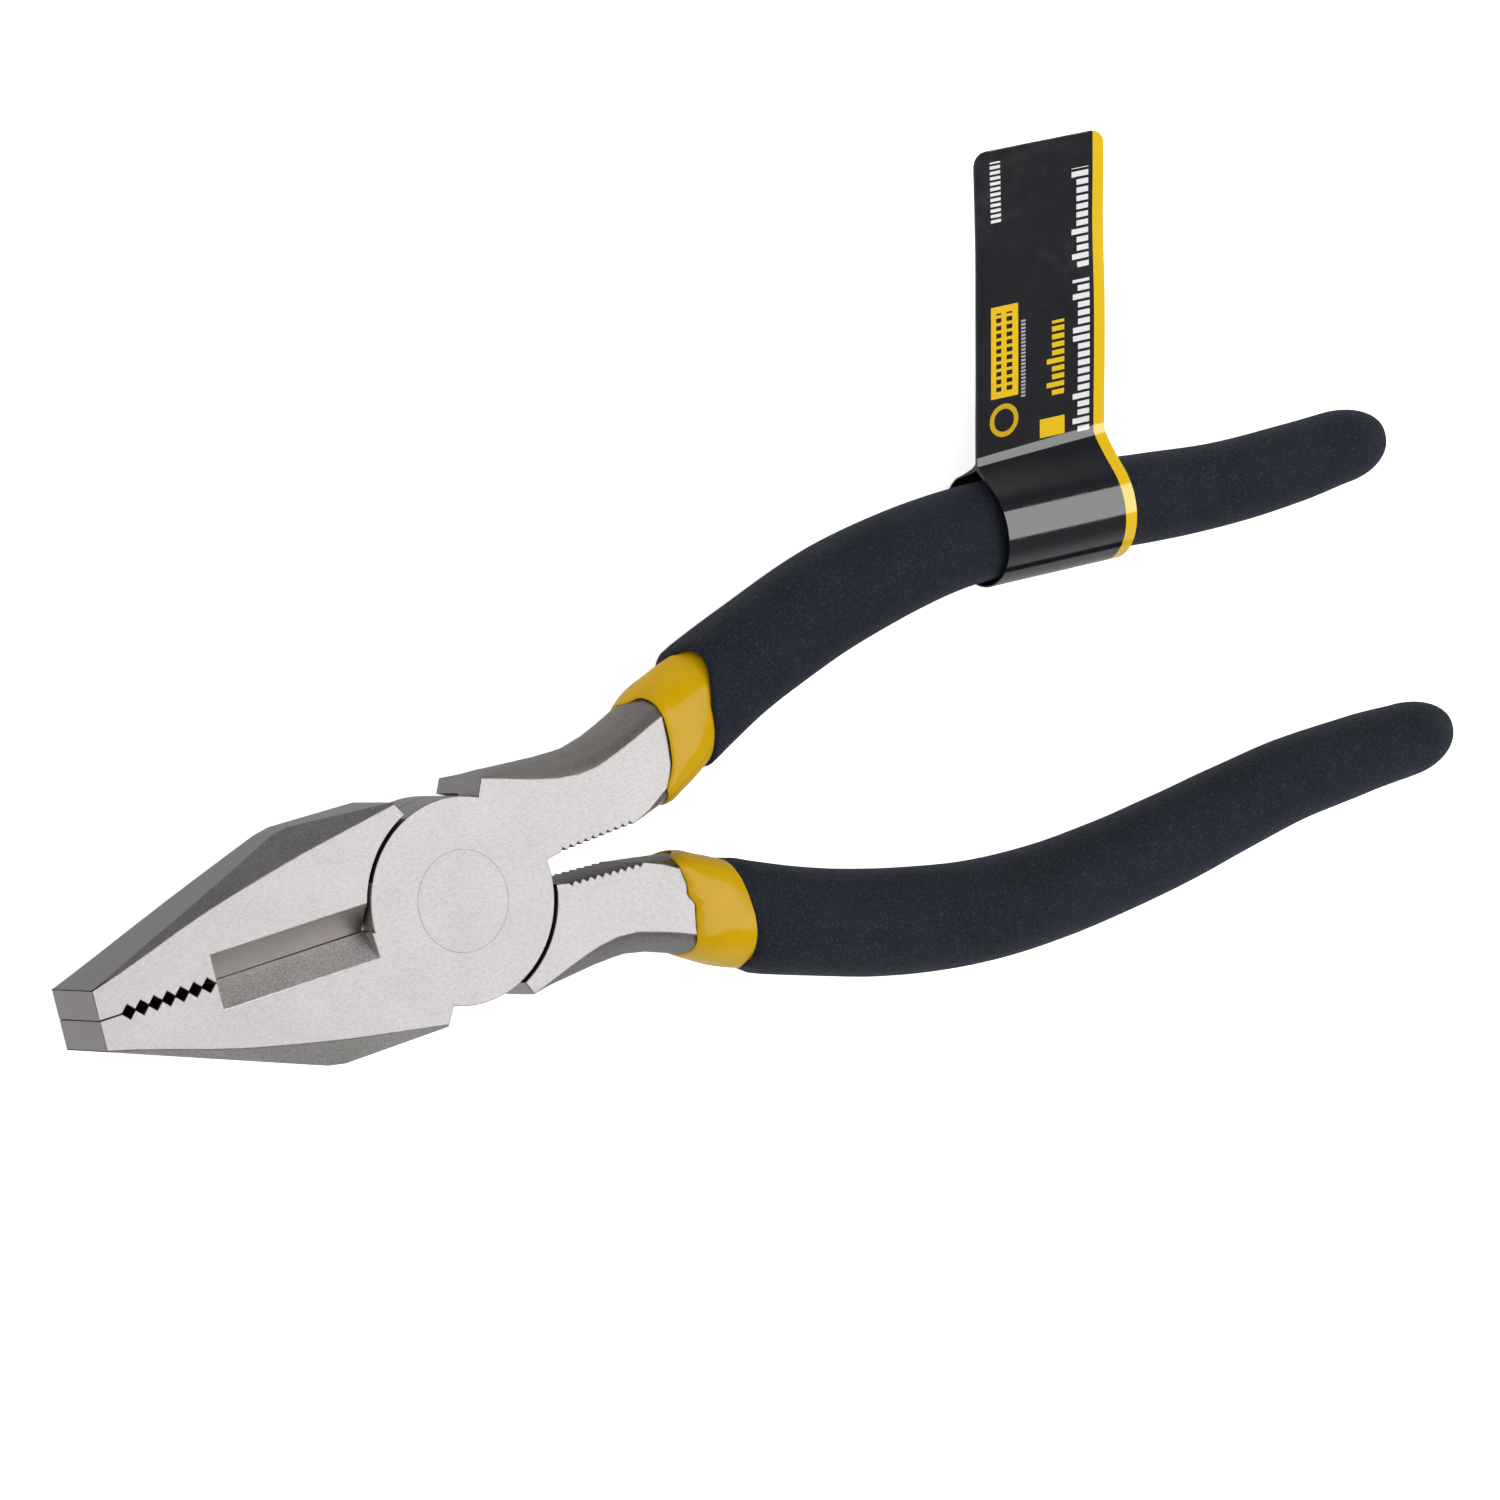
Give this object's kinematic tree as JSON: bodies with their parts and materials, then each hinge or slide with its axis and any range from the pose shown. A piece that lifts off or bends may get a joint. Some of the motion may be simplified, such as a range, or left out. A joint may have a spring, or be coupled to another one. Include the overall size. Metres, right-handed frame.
{
  "type": "lineman pliers",
  "caption": "Lineman pliers with serrated flat jaws, side cutters, a riveted lap joint, two-layer dipped grips and a film hang tag looped round one handle.",
  "frame": {"origin": "centre of the joint's lower ground face, on the rivet's axis", "axes": "+X from the rivet towards the handle ends, +Y towards the handle that carries the tag, +Z out of the joint face that shows the front boss; the jaws are closed"},
  "size_m": [0.1799, 0.0893, 0.0198],
  "materials": {
    "ground_steel": "ground",
    "rivet_steel": "ground",
    "yellow_dip": "gloss",
    "black_grip": "matte",
    "tag_film": "gloss"
  },
  "bodies": {
    "front_side": {"front_half": "ground_steel", "pivot_rivet": "rivet_steel", "front_dip_coat": "yellow_dip", "front_grip": "black_grip"},
    "rear_side": {"rear_half": "ground_steel", "rear_dip_coat": "yellow_dip", "rear_grip": "black_grip"},
    "loop": {"tag_loop": "tag_film"},
    "flag": {"tag_flag": "tag_film"}
  },
  "joints": [
    {"name": "pliers_hinge", "type": "hinge", "parent": "front_side", "child": "rear_side", "pos_m": [0, 0, 0.00475], "axis": [0, 0, -1], "range_deg": [0, 44]},
    {"name": "tag_swing", "type": "hinge", "parent": "front_side", "child": "loop", "pos_m": [0.0862, 0.0203, 0.00475], "axis": [0.9976, -0.0698, 0], "range_deg": [-165, 130]},
    {"name": "tag_fold", "type": "hinge", "parent": "loop", "child": "flag", "pos_m": [0.08677, 0.02843, 0.00724], "axis": [0.9976, -0.0698, 0], "range_deg": [-60, 60], "stiffness_Nm_per_rad": 0.002}
  ]
}
